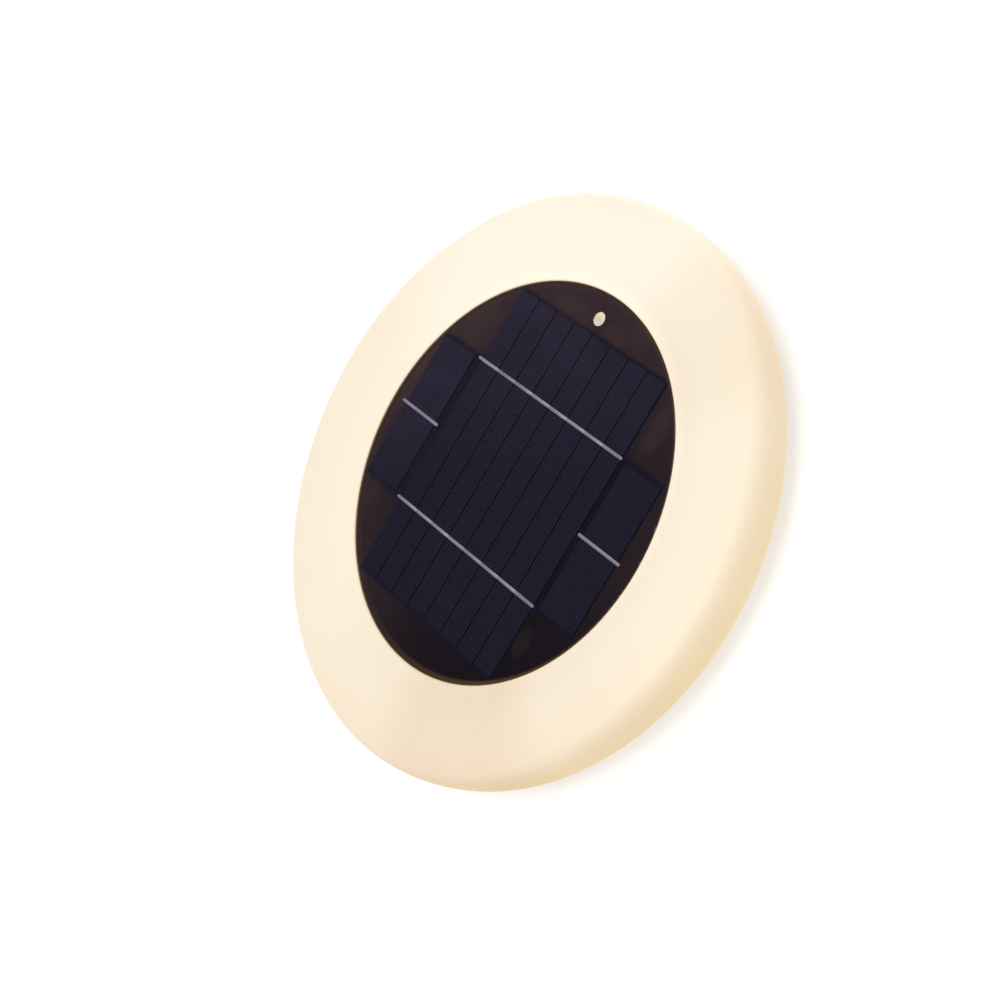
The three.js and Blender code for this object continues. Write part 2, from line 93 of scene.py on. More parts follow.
COVER_SCREWS = [f"cover_screw_{i + 1}" for i in range(6)]
CHASSIS_SCREWS = [f"chassis_screw_{i + 1}" for i in range(3)]
LAMPS = [f"led_{i + 1}" for i in range(8)]
FEET = [f"foot_{i + 1}" for i in range(4)]

GAP = 0.3 * MM  # clearance between neighbouring pieces

# ---- camera --------------------------------------------------------------------------------------

# The photograph's view: the camera's bearing, height and roll round its target on the panel.
VIEW_BEARING = math.radians(10.43)
VIEW_HEIGHT = math.radians(44.28)
VIEW_ROLL = math.radians(-66.6)
VIEW_DISTANCE = 11.336 * PANEL_R
VIEW_TARGET = Vector((-0.0981 * PANEL_R, -0.0333 * PANEL_R, PANEL_Z))
LENS = 86.05  # focal length in millimetres


def add_camera():
    a, e = VIEW_BEARING, VIEW_HEIGHT
    back = Vector((math.sin(a) * math.cos(e), -math.cos(a) * math.cos(e), math.sin(e)))
    level = Vector((math.cos(a), math.sin(a), 0))
    right = level * math.cos(VIEW_ROLL) + back.cross(level) * math.sin(VIEW_ROLL)
    up = back.cross(right)
    data = bpy.data.cameras.new("camera")
    data.lens = LENS
    data.clip_start = 0.01
    data.clip_end = 50
    camera = bpy.data.objects.new("camera", data)
    turn = Matrix((right, up, back)).transposed()
    camera.matrix_world = Matrix.Translation(VIEW_TARGET + back * VIEW_DISTANCE) @ turn.to_4x4()
    bpy.context.scene.collection.objects.link(camera)
    bpy.context.scene.camera = camera


# ---- material helpers ----------------------------------------------------------------------------


class Surface:
    """A node material in the making: a Principled shader and short ways to feed its sockets."""

    def __init__(self, name, **values):
        self.material = bpy.data.materials.new(name)
        self.material.use_nodes = True
        self.tree = self.material.node_tree
        self.shader = self.tree.nodes["Principled BSDF"]
        self.output = self.tree.nodes["Material Output"]
        for socket, value in values.items():
            self.shader.inputs[socket.replace("_", " ")].default_value = value

    def node(self, kind, **settings):
        made = self.tree.nodes.new(kind)
        for key, value in settings.items():
            setattr(made, key, value)
        return made

    def link(self, source, target):
        self.tree.links.new(source, target)

    def feed(self, socket, source):
        self.link(source, self.shader.inputs[socket])

    def put(self, socket, value):
        if isinstance(value, bpy.types.NodeSocket):
            self.link(value, socket)
        else:
            socket.default_value = value

    def math(self, operation, *values):
        made = self.node("ShaderNodeMath", operation=operation)
        for socket, value in zip(made.inputs, values):
            self.put(socket, value)
        return made.outputs[0]

    def total(self, first, *others):
        for other in others:
            first = self.math("ADD", first, other)
        return first

    def place(self):
        return self.node("ShaderNodeTexCoord").outputs["Object"]

    def axes(self):
        made = self.node("ShaderNodeSeparateXYZ")
        self.link(self.place(), made.inputs[0])
        return made.outputs

    def noise(self, scale, detail=2.0, stretch=(1, 1, 1), roughness=0.5):
        scaled = self.node("ShaderNodeMapping")
        scaled.inputs["Scale"].default_value = stretch
        self.link(self.place(), scaled.inputs["Vector"])
        made = self.node("ShaderNodeTexNoise")
        made.inputs["Scale"].default_value = scale
        made.inputs["Detail"].default_value = detail
        made.inputs["Roughness"].default_value = roughness
        self.link(scaled.outputs[0], made.inputs["Vector"])
        return made.outputs["Fac"]

    def between(self, value, start, end, start_to=0.0, end_to=1.0, smooth=False):
        """value mapped from start..end to start_to..end_to, held at both ends."""
        made = self.node("ShaderNodeMapRange", clamp=True)
        made.interpolation_type = "SMOOTHSTEP" if smooth else "LINEAR"
        for socket, each in zip(made.inputs, (value, start, end, start_to, end_to)):
            self.put(socket, each)
        return made.outputs[0]

    def ramp(self, value, stops):
        made = self.node("ShaderNodeValToRGB")
        elements = made.color_ramp.elements
        while len(elements) < len(stops):
            elements.new(0.5)
        for element, (at, colour) in zip(elements, stops):
            element.position = at
            element.color = (*colour, 1)
        self.link(value, made.inputs[0])
        return made.outputs[0]

    def tones(self, value, dark, light, start=0.3, end=0.7):
        """From dark to light as value goes from start to end."""
        return self.ramp(value, [(start, dark), (end, light)])

    def mix(self, factor, a, b, blend="MIX"):
        made = self.node("ShaderNodeMix", data_type="RGBA", blend_type=blend)
        for name, value in (("Factor", factor), ("A", a), ("B", b)):
            sockets = [s for s in made.inputs if s.name == name and s.enabled]
            self.put(sockets[0], (*value, 1) if isinstance(value, tuple) else value)
        return [s for s in made.outputs if s.enabled][0]

    def bump(self, height, strength, distance):
        made = self.node("ShaderNodeBump")
        made.inputs["Strength"].default_value = strength
        made.inputs["Distance"].default_value = distance
        self.link(height, made.inputs["Height"])
        self.feed("Normal", made.outputs[0])

    def radius(self):
        """Distance from the disc's axis."""
        x, y, _ = self.axes()
        squares = [self.math("MULTIPLY", d, d) for d in (x, y)]
        return self.math("SQRT", self.math("ADD", *squares))

    def lobes(self, start, places):
        """start, changed by soft lobes round the disc: bearing, half width (degrees), amount."""
        x, y, _ = self.axes()
        around = self.math("ARCTAN2", y, x)
        amounts = []
        for bearing, width, amount in places:
            away = self.math("COSINE", self.math("SUBTRACT", around, math.radians(bearing)))
            edge = math.cos(math.radians(width))
            amounts.append(self.between(away, edge, 1.0, 0.0, amount, smooth=True))
        return self.total(start, *amounts)

    def spot(self, x, y, wide, tall, amount):
        """A soft oval patch at (x, y), given in millimetres."""
        px, py, _ = self.axes()
        offsets = [
            self.math("DIVIDE", self.math("SUBTRACT", p, at * MM), size * MM)
            for p, at, size in ((px, x, wide), (py, y, tall))
        ]
        squares = [self.math("MULTIPLY", d, d) for d in offsets]
        return self.between(self.math("ADD", *squares), 0.0, 1.0, amount, 0.0, smooth=True)


def paint(material, *names):
    for name in names:
        materials = NODES[name].data.materials
        materials.clear()
        materials.append(material)


# ---- shape helpers -------------------------------------------------------------------------------
# Outlines are (radius, height) or (radius, height, rounding) points in millimetres, and solids are
# bmeshes in metres.


def bezier(handles, steps):
    """Points of the cubic curve through four handles, without its first point."""
    made = []
    for i in range(1, steps + 1):
        t = i / steps
        weights = ((1 - t) ** 3, 3 * t * (1 - t) ** 2, 3 * t * t * (1 - t), t ** 3)
        made.append(tuple(sum(w * h[k] for w, h in zip(weights, handles)) for k in (0, 1)))
    return made


def rounded(outline, steps=5):
    """The outline's points, with every corner that has a rounding eased into a short curve."""
    made = []
    for k, (r, z, *size) in enumerate(outline):
        if not size:
            made.append((r, z))
            continue
        here = Vector((r, z))
        before = Vector(outline[k - 1][:2])
        after = Vector(outline[(k + 1) % len(outline)][:2])
        start = here + (before - here).normalized() * size[0]
        end = here + (after - here).normalized() * size[0]
        for i in range(steps + 1):
            t = i / steps
            made.append(tuple(start * (1 - t) ** 2 + here * 2 * t * (1 - t) + end * t * t))
    return made


def skin(bm, rings):
    """Joins each ring of points to the next with four-sided faces."""
    for a, b in zip(rings, rings[1:]):
        for i in range(len(a)):
            j = (i + 1) % len(a)
            bm.faces.new((a[i], a[j], b[j], b[i]))


def lathe(outline, sides=96, at=(0.0, 0.0)):
    """A solid turned about the upright line through at, in metres. Points on it are made once."""
    bm = bmesh.new()
    x, y = at
    rings = []
    angles = [2 * math.pi * i / sides for i in range(sides)]
    for r, z in rounded(outline):
        if r < 1e-6:
            rings.append([bm.verts.new((x, y, z * MM))])
            continue
        ring = [(x + r * MM * math.cos(a), y + r * MM * math.sin(a), z * MM) for a in angles]
        rings.append([bm.verts.new(v) for v in ring])
    for a, b in zip(rings, rings[1:] + rings[:1]):
        for i in range(sides):
            j = (i + 1) % sides
            corners = [a[i % len(a)], a[j % len(a)], b[j % len(b)], b[i % len(b)]]
            unique = list(dict.fromkeys(corners))
            if len(unique) > 2:
                bm.faces.new(unique)
    return bm


def rod(radius, z0, z1, at=(0, 0), sides=64):
    """A plain round solid, for cutting and joining: millimetres, and its axis in metres."""
    return lathe([(0, z0), (radius, z0), (radius, z1), (0, z1)], sides, at)


def prism(outline, z0, z1, at=(0, 0), turn=0.0):
    """An upright solid over a flat outline of (x, y) points in millimetres."""
    bm = bmesh.new()
    c, s = math.cos(turn), math.sin(turn)
    levels = [
        [
            bm.verts.new((at[0] + (c * x - s * y) * MM, at[1] + (s * x + c * y) * MM, z * MM))
            for x, y in outline
        ]
        for z in (z0, z1)
    ]
    bm.faces.new(levels[0])
    bm.faces.new(levels[1])
    skin(bm, levels)
    return bm


def arc(radius, start, end, steps=24):
    """Points of an arc about the origin between two angles in degrees."""
    angles = [math.radians(start + (end - start) * i / steps) for i in range(steps + 1)]
    return [(radius * math.cos(a), radius * math.sin(a)) for a in angles]


def polar(radius, angle):
    """One point of such an arc."""
    return arc(radius, angle, angle, 1)[0]


def band(inner, outer, start, end):
    """The outline of a part of a flat ring between two angles in degrees."""
    return arc(outer, start, end) + arc(inner, end, start)


def capsule(length, width):
    """A straight slot with round ends, along X."""
    half = (length - width) / 2
    right = [(x + half, y) for x, y in arc(width / 2, -90, 90, 12)]
    left = [(x - half, y) for x, y in arc(width / 2, 90, 270, 12)]
    return right + left


def merged(solids):
    """Several separate bmeshes as one."""
    whole = bmesh.new()
    for solid in solids:
        mesh = bpy.data.meshes.new("piece")
        solid.to_mesh(mesh)
        whole.from_mesh(mesh)
        solid.free()
        bpy.data.meshes.remove(mesh)
    return whole


def loose_object(name, bm):
    mesh = bpy.data.meshes.new(name)
    bmesh.ops.recalc_face_normals(bm, faces=bm.faces)
    bm.to_mesh(mesh)
    bm.free()
    made = bpy.data.objects.new(name, mesh)
    bpy.context.scene.collection.objects.link(made)
    return made


def carve(made, operation, *solids):
    """Joins (UNION) or cuts (DIFFERENCE) the solids, one after another, into the object's mesh."""
    for solid in solids:
        tool = loose_object("tool", solid)
        change = made.modifiers.new("carve", "BOOLEAN")
        change.operation = operation
        change.solver = "EXACT"
        change.object = tool
        evaluated = made.evaluated_get(bpy.context.evaluated_depsgraph_get())
        result = bpy.data.meshes.new_from_object(evaluated)
        made.modifiers.clear()
        before = made.data
        made.data = result
        result.name = before.name
        bpy.data.meshes.remove(before)
        bpy.data.meshes.remove(tool.data)


def shade(made, degrees):
    """Smooth shading with sharp edges where two faces meet at more than this angle."""
    made.data.shade_smooth()
    made.data.set_sharp_from_angle(angle=math.radians(degrees))


def finish_piece(made, material, slot, *replaced, body="housing", smooth_under=35):
    """Gives the object its material, shading and body, and hides the nodes it stands for. The slot
    is not used.
    """
    made.data.materials.clear()
    made.data.materials.append(material)
    shade(made, smooth_under)
    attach(made, body)
    if replaced:
        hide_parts(*replaced)


# ---- the lit polyethylene ------------------------------------------------------------------------

# Places round the ring, each as bearing, half width (degrees) and amount.
GLOW_PLACES = (  # where the lamps inside leave it brighter or dimmer
    (22, 62, 0.16), (120, 60, -0.06), (206, 60, -0.14), (208, 26, -0.22), (328, 24, -0.14),
)
PALE_SIDES = ((345, 90, 1.0),)  # where its side is less amber
# Painted shade: the glow turns amber towards the rim, most towards -Y and -X.
RIM_SHADE_PLACES = ((262, 80, 0.62), (182, 30, 0.35))  # where its top turns amber towards the rim

# The glow's colours: by share of the height, and where something tints it.
GLOW_BY_HEIGHT = (
    (0.0, (0.52, 0.41, 0.24)), (0.45, (0.56, 0.42, 0.16)), (0.75, (0.55, 0.42, 0.20)),
    (0.90, (0.46, 0.390, 0.300)),
)
PALE_SIDE = (0.60, 0.51, 0.39)
# Painted shade at the panel's lip.
LIP_SHADE_AMBER = (0.36, 0.23, 0.08)
# Painted shade towards the rim.
RIM_SHADE_AMBER = (0.455, 0.335, 0.175)
DIM_TINT = (0.69, 0.52, 0.28)

FOOT_POCKET = 1.0  # depth of the feet's seats, millimetres


def glow_material():
    s = Surface("glowing_polyethylene", Roughness=0.5, Specular_IOR_Level=0.25)
    _, _, z = s.axes()
    height = s.between(z, BASE_Z, CREST_Z)
    # Painted shade: the base colour is darker and warmer towards the bottom.
    base = s.ramp(height, [
        (0.0, (0.34, 0.29, 0.20)), (0.55, (0.36, 0.33, 0.26)), (0.9, (0.38, 0.36, 0.32)),
    ])
    clouds = s.noise(14, 3)
    s.feed("Base Color", s.mix(s.between(clouds, 0.3, 0.7, 0.0, 0.25), base, (0.34, 0.31, 0.25)))
    s.feed("Emission Color", glow_colour(s, z, clouds))
    s.shader.inputs["Emission Strength"].default_value = 1.0
    s.bump(s.noise(900, 2), 0.08, 0.1 * MM)
    return s.material


def glow_colour(s, z, clouds):
    """Cream at the top and amber lower down, warmer where it is dimmer, with painted shade in amber
    at the panel's lip and towards the rim.
    """
    height = s.between(z, BASE_Z, CREST_Z)
    cream = s.ramp(height, GLOW_BY_HEIGHT)
    side = s.math("MULTIPLY", s.between(height, 0.15, 0.5), s.between(height, 0.85, 0.95, 1.0, 0.0))
    paler = s.math("MULTIPLY", s.lobes(0.0, PALE_SIDES), side)
    cream = s.mix(paler, cream, PALE_SIDE)
    # Painted shade in the crease where the ring meets the panel's lip.
    lip = s.between(s.radius(), PANEL_R + 0.3 * MM, PANEL_R + 1.5 * MM, 1.0, 0.0, smooth=True)
    upper = s.between(z, PANEL_Z - 3 * MM, PANEL_Z - 1 * MM, 0.0, 0.55)
    cream = s.mix(s.math("MULTIPLY", lip, upper), cream, LIP_SHADE_AMBER)
    # Painted shade where the rim curves down, most towards -Y and -X.
    outer = s.between(s.radius(), 0.82 * BODY_R, 0.98 * BODY_R, smooth=True)
    amber = s.math("MULTIPLY", outer, s.lobes(0.0, RIM_SHADE_PLACES))
    cream = s.mix(amber, cream, RIM_SHADE_AMBER)
    share = s.math("ADD", s.lobes(0.84, GLOW_PLACES), s.between(clouds, 0.3, 0.7, -0.04, 0.04))
    tint = s.tones(share, DIM_TINT, (1.0, 1.0, 1.0), 0.5, 1.0)
    return s.mix(1.0, cream, tint, "MULTIPLY")


def shell_corner(points, r1, z1, reach, upright, steps=14):
    """Adds a rounded corner from the last point to (r1, z1), square to the axes at both ends."""
    r0, z0 = points[-1]
    dr, dz = (r1 - r0) * reach, (z1 - z0) * reach
    if upright:
        handles = ((r0, z0), (r0, z0 + dz), (r1 - dr, z1), (r1, z1))
    else:
        handles = ((r0, z0), (r0 + dr, z0), (r1, z1 - dz), (r1, z1))
    points.extend(bezier(handles, steps))


def shell_section():
    """The ring's half section in millimetres, with the same curves as the CAD shell."""
    body, base, crest = BODY_R / MM, BASE_Z / MM, CREST_Z / MM
    panel, panel_z, rebate = PANEL_R / MM, PANEL_Z / MM, COVER_R / MM + 0.4
    ledge, opening = 8.6, 77  # height and radius of the ledge that the cover is screwed to
    crest_r, base_r, waist, wall = 118, 121, 26, 3
    recess, seat, seat_r = panel + 0.3, low("panel_seal").z / MM - 0.3, 91
    points = [(opening, ledge), (rebate, ledge), (rebate, base + 0.8)]
    points += bezier(((rebate, base + 0.8), (rebate, base), (rebate, base), (rebate + 1, base)), 4)
    points.append((base_r, base))
    shell_corner(points, body, waist, 0.61, False)
    shell_corner(points, crest_r, crest, 0.88, True, 22)
    points += bezier(
        ((crest_r, crest), (crest_r - 9, crest), (recess + 6, panel_z + 1.2),
         (recess + 1, panel_z + 0.4)), 12)
    points += bezier(
        ((recess + 1, panel_z + 0.4), (recess + 0.33, panel_z + 0.27),
         (recess, panel_z), (recess, panel_z - 0.4)), 5)
    points += [(recess, seat), (seat_r, seat), (seat_r, seat - wall), (recess + wall, seat - wall)]
    points += [(recess + wall, panel_z - 2), (crest_r, crest - wall)]
    shell_corner(points, body - wall, waist, 0.88, False, 8)
    shell_corner(points, base_r, base + wall, 0.61, True, 8)
    points += [(rebate + wall, base + wall), (rebate + wall, ledge + wall), (opening, ledge + wall)]
    return points


def build_shell():
    ring = loose_object("glow_ring", lathe(shell_section(), 256))
    boss_r, boss_low, boss_top = 4, 10, 17
    pilot_r, pilot_low, pilot_top = 1.4, 7, 15.3
    bosses = [rod(boss_r, boss_low, boss_top, axis(node), 32) for node in COVER_SCREWS]
    pilots = [rod(pilot_r, pilot_low, pilot_top, axis(node), 24) for node in COVER_SCREWS]
    foot_r = (high(FEET[0]).x - low(FEET[0]).x) / 2 / MM + 0.3
    base = BASE_Z / MM
    pockets = [rod(foot_r, base - 1, base + FOOT_POCKET, axis(foot)) for foot in FEET]
    carve(ring, "UNION", merged(bosses))
    carve(ring, "DIFFERENCE", merged(pilots + pockets))
    finish_piece(ring, glow_material(), "glow_shell", "diffuser_shell")


# ---- the solar panel -----------------------------------------------------------------------------

# Where the light inside shows through the board most: x, y and half sizes in mm, and amount.
LEAKS = (
    (54, 73, 17, 12, 0.3), (-47, 78, 10, 7, 0.2), (58, -64, 16, 8, 0.5), (-56, -60, 10, 6, 0.5),
    (83, 21, 7, 20, 0.4), (84, -12, 6, 12, 0.5), (90, -26, 7, 10, 0.4), (10, 94, 24, 5, 0.4),
)
FINGER_PITCH = 1.45  # between the cells' printed lines, millimetres
FLAT_PLATE = 12  # degrees: keeps a plate's broad face flat up to its broken edge


def silicon_material():
    """Blue-violet cells whose tone varies a little at random, with a painted sheen that brightens
    them slightly towards +X and +Y.
    """
    s = Surface("solar_silicon", Roughness=0.2, Specular_IOR_Level=0.05)
    x, y, _ = s.axes()
    # Painted sheen: brighter towards +X and +Y, and over the rear side cell.
    across = s.math("ADD", x, s.math("MULTIPLY", y, 0.35))
    rear_cell = s.between(y, BLOCK_Y + BLOCK_HALF, BLOCK_Y + BLOCK_HALF + 8 * MM, 0.0, 0.25)
    painted_sheen = s.math("ADD", s.between(across, -0.9 * PANEL_R, 0.9 * PANEL_R), rear_cell)
    tone = s.ramp(painted_sheen, [
        (0.0, (0.0052, 0.0046, 0.0128)), (0.5, (0.0062, 0.0053, 0.0144)),
        (1.0, (0.0172, 0.0128, 0.0270)),
    ])
    mottle = s.noise(38, 5, (1, 1, 0), 0.6)
    patchy = s.between(mottle, 0.4, 0.65, 0.0, 0.5)
    s.feed("Base Color", s.mix(patchy, tone, (0.0066, 0.0063, 0.0160)))
    s.feed("Roughness", s.between(mottle, 0.3, 0.7, 0.18, 0.26))
    s.bump(s.noise(1500, 2, (1, 1, 0)), 0.05, 0.05 * MM)
    return s.material


def finger_material():
    """Fine printed silver lines, dulled by the coating over them."""
    s = Surface("printed_finger", Roughness=0.5, Metallic=0.2)
    silver = s.tones(s.noise(500, 2), (0.015, 0.014, 0.025), (0.026, 0.024, 0.040))
    s.feed("Base Color", silver)
    return s.material


def open_margin(s):
    """1 on the board's margin, outside the strips and the side cells, and 0 between them."""
    x, y, _ = s.axes()
    beside = s.math("ABSOLUTE", x)
    across = s.math("ABSOLUTE", s.math("SUBTRACT", y, BLOCK_Y))
    past_block = s.between(beside, STRIP_HALF, STRIP_HALF + 2 * MM)
    past_side_cells = s.between(beside, SIDE_HALF, SIDE_HALF + 3 * MM)
    past_strips = s.between(across, BLOCK_HALF, BLOCK_HALF + 1 * MM)
    corner = s.math("MULTIPLY", past_side_cells, past_strips)
    from_middle = s.math("ABSOLUTE", s.math("SUBTRACT", y, OUTER_Y))
    past_ends = s.between(from_middle, OUTER_HALF, OUTER_HALF + 1 * MM)
    return s.math("MAXIMUM", s.math("MAXIMUM", past_block, corner), past_ends)


def backing_material():
    """Dark board under the laminate. The light inside shows through it as dim brownish patches."""
    s = Surface("panel_board", Roughness=0.45, Specular_IOR_Level=0.0)
    grain = s.noise(60, 4, (1, 1, 0), 0.6)
    margin = open_margin(s)
    # Painted sheen: the navy brightens towards +Y, as on the cells.
    navy = s.mix(s.between(s.axes()[1], -0.6 * PANEL_R, 0.6 * PANEL_R),
                 s.tones(grain, (0.0044, 0.0032, 0.0102), (0.0052, 0.0040, 0.0118)),
                 s.tones(grain, (0.0072, 0.0056, 0.0146), (0.0084, 0.0068, 0.0166)))
    brown = s.tones(grain, (0.0042, 0.0030, 0.0050), (0.0052, 0.0038, 0.0060))
    s.feed("Base Color", s.mix(margin, navy, brown))
    around = s.lobes(0.40, ((25, 95, 0.42), (100, 70, 0.18), (212, 60, -0.36)))
    outwards = s.between(s.radius(), 0.75 * PANEL_R, PANEL_R, 0.8, 1.15)
    veil = s.math("MULTIPLY", s.math("MULTIPLY", around, outwards), margin)
    streaks = s.between(s.noise(55, 3, (1, 0.45, 0)), 0.35, 0.65, 0.5, 1.2)
    patches = s.math("MULTIPLY", s.total(*[s.spot(*leak) for leak in LEAKS]), streaks)
    glow = s.mix(1.0, s.mix(veil, (0.0, 0.0, 0.0), (0.0345, 0.0190, 0.0205)),
                 s.mix(patches, (0.0, 0.0, 0.0), (0.0240, 0.0170, 0.0100)), "ADD")
    edge = s.between(s.radius(), PANEL_R - 2.8 * MM, PANEL_R - 1.6 * MM)
    lit_edge = s.math("MULTIPLY", edge, s.lobes(0.1, ((255, 105, 0.6),)))
    s.feed("Emission Color", s.mix(lit_edge, glow, (0.105, 0.058, 0.018)))
    s.shader.inputs["Emission Strength"].default_value = 1.0
    return s.material


def laminate_material():
    """Clear sheet: seen through, with a soft gloss that grows towards grazing angles."""
    s = Surface("clear_laminate")
    clear = s.node("ShaderNodeBsdfTransparent")
    clear.inputs["Color"].default_value = (0.97, 0.97, 0.98, 1)
    gloss = s.node("ShaderNodeBsdfGlossy")
    gloss.inputs["Roughness"].default_value = 0.06
    fresnel = s.node("ShaderNodeFresnel")
    fresnel.inputs["IOR"].default_value = 1.3
    ripple = s.node("ShaderNodeBump")
    ripple.inputs["Strength"].default_value = 0.04
    ripple.inputs["Distance"].default_value = 0.2 * MM
    s.link(s.noise(45, 2), ripple.inputs["Height"])
    s.link(ripple.outputs[0], gloss.inputs["Normal"])
    both = s.node("ShaderNodeMixShader")
    _, _, z = s.axes()
    upper_face = s.between(z, PANEL_Z - 0.5 * MM, PANEL_Z - 0.3 * MM)
    s.put(both.inputs[0], s.math("MULTIPLY", fresnel.outputs[0], upper_face))
    s.link(clear.outputs[0], both.inputs[1])
    s.link(gloss.outputs[0], both.inputs[2])
    s.link(both.outputs[0], s.output.inputs["Surface"])
    s.tree.nodes.remove(s.shader)
    return s.material


def ribbon_material():
    """Tinned copper ribbon, drawn along Y and dulled with flux."""
    s = Surface("tinned_ribbon", Metallic=0.5, Roughness=0.45)
    drawn = s.noise(700, 3, (1, 0.06, 1))
    s.feed("Base Color", s.tones(drawn, (0.20, 0.195, 0.24), (0.33, 0.325, 0.38), 0.25, 0.75))
    s.feed("Roughness", s.between(drawn, 0.3, 0.7, 0.38, 0.52))
    return s.material


def gap_shade_material():
    """A dark brown bead that fills the gap round the panel: painted shade in that gap. The ring
    lights it through at its top edge.
    """
    s = Surface("gap_shade_bead", Roughness=0.6, Specular_IOR_Level=0.1, Emission_Strength=1.0)
    _, _, z = s.axes()
    s.feed("Base Color", s.tones(s.noise(300, 3), (0.010, 0.007, 0.007), (0.016, 0.011, 0.010)))
    s.feed("Emission Color", s.ramp(s.between(z, PANEL_Z - 2 * MM, PANEL_Z - 0.35 * MM), [
        (0.0, (0.026, 0.016, 0.018)), (0.5, (0.036, 0.023, 0.021)), (0.95, (0.17, 0.11, 0.045)),
    ]))
    return s.material


def window_material(place, radius):
    """Milky and lit from below, creamier towards +X. Below the sheet's face its side is dark, with
    the board's dim glow painted on it.
    """
    s = Surface("milky_window", Roughness=0.25, Emission_Strength=1.0)
    x, _, z = s.axes()
    face = s.between(z, PANEL_Z - 0.35 * MM, PANEL_Z - 0.2 * MM)
    milk = s.tones(s.noise(400, 2), (0.22, 0.20, 0.18), (0.27, 0.25, 0.22))
    s.feed("Base Color", s.mix(face, (0.006, 0.005, 0.006), milk))
    lit = s.ramp(s.between(x, place.x - radius, place.x + radius), [
        (0.0, (0.38, 0.34, 0.34)), (0.45, (0.31, 0.235, 0.14)), (0.95, (0.50, 0.41, 0.24)),
    ])
    s.feed("Emission Color", s.mix(face, (0.028, 0.016, 0.018), lit))
    return s.material


def plate_with_hole(radius, hole, at, z0, z1, bevel, sides=256):
    """A round plate with one round hole and broken edges. All sizes in metres."""
    bm = bmesh.new()

    def loop(r, x, y, z, count):
        angles = [2 * math.pi * i / count for i in range(count)]
        return [bm.verts.new((x + r * math.cos(a), y + r * math.sin(a), z)) for a in angles]

    levels = [(z0, bevel), (z0 + bevel, 0), (z1 - bevel, 0),
              (z1 - 0.3 * bevel, 0.3 * bevel), (z1, bevel)]
    outer = [loop(radius - inset, 0, 0, z, sides) for z, inset in levels]
    inner = [loop(hole + inset, *at, z, 64) for z, inset in levels]
    skin(bm, outer)
    skin(bm, inner)
    for k in (0, -1):
        rims = [set(outer[k]), set(inner[k])]
        edges = [e for e in bm.edges if any(set(e.verts) <= rim for rim in rims)]
        bmesh.ops.triangle_fill(bm, use_beauty=True, edges=edges)
    return bm


def ribbon_mesh(node, gaps):
    """A crowned ribbon in the place of the CAD one, dipping into each gap between two strips."""
    (x0, y0, z0), (x1, y1, z1) = low(node), high(node)
    middle, half = (x0 + x1) / 2, 0.44 * (x1 - x0)
    section = [(-1, 0.35), (-0.75, 0.85), (-0.3, 1.0), (0.3, 1.0), (0.75, 0.85), (1, 0.35)]
    dip, reach, tip = 0.1 * MM, 0.7 * MM, 0.9 * MM
    stations = {y0, y0 + tip, y1 - tip, y1}
    for gap in gaps:
        stations |= {gap - reach, gap - 0.4 * reach, gap + 0.4 * reach, gap + reach}
    bm = bmesh.new()
    rings = []
    for y in sorted(stations):
        drop = dip if any(abs(y - gap) < 0.5 * reach for gap in gaps) else 0.0
        narrow = 0.6 if y in (y0, y1) else 1.0
        top = [(middle + half * u * narrow, y, z0 + (z1 - z0) * v - drop) for u, v in section]
        bottom = [(middle + half * u * narrow, y, z0 - drop) for u in (1, -1)]
        rings.append([bm.verts.new(v) for v in top + bottom])
    skin(bm, rings)
    bm.faces.new(rings[0])
    bm.faces.new(rings[-1])
    return bm


def build_ribbons():
    material = ribbon_material()
    gaps = [BLOCK_Y + (i - STRIP_COUNT / 2) * STRIP_PITCH for i in range(1, STRIP_COUNT)]
    for node in ("ribbon_left", "ribbon_right", "side_ribbon_rear", "side_ribbon_front"):
        crossed = gaps if node.startswith("ribbon") else []
        tape = loose_object(f"tinned_{node}", ribbon_mesh(node, crossed))
        finish_piece(tape, material, "ribbon", node)


def build_fingers():
    """The printed lines on every cell, a hair proud of its face."""
    lines = []
    wide, proud, margin = 0.11, 0.02, 1.2
    for node in STRIPS + SIDE_CELLS:
        (x0, y0, _), (x1, y1, top) = low(node) / MM, high(node) / MM
        left, right = x0 + margin, x1 - margin
        count = int((y1 - y0 - 0.6) / FINGER_PITCH) + 1
        first = (y0 + y1) / 2 - (count - 1) / 2 * FINGER_PITCH
        for i in range(count):
            y = first + i * FINGER_PITCH
            outline = [(left, y), (right, y), (right, y + wide), (left, y + wide)]
            lines.append(prism(outline, top - 0.1, top + proud))
    finish_piece(loose_object("cell_fingers", merged(lines)), finger_material(), "silicon")


def build_window():
    """The lens. Gives its place and its radius, in metres."""
    place = centre("receiver_window")
    foot, top = heights("receiver_window")
    r = (high("receiver_window").x - place.x) / MM
    outline = [(0, foot), (r, foot, 0.2), (r, top - 0.16, 0.14), (0.7 * r, top - 0.02, 0.6),
               (0, top)]
    finish_piece(
        loose_object("milky_lens", lathe(outline, 96, (place.x, place.y))),
        window_material(place, r * MM), "milky_window", "receiver_window")
    return (place.x, place.y), r * MM


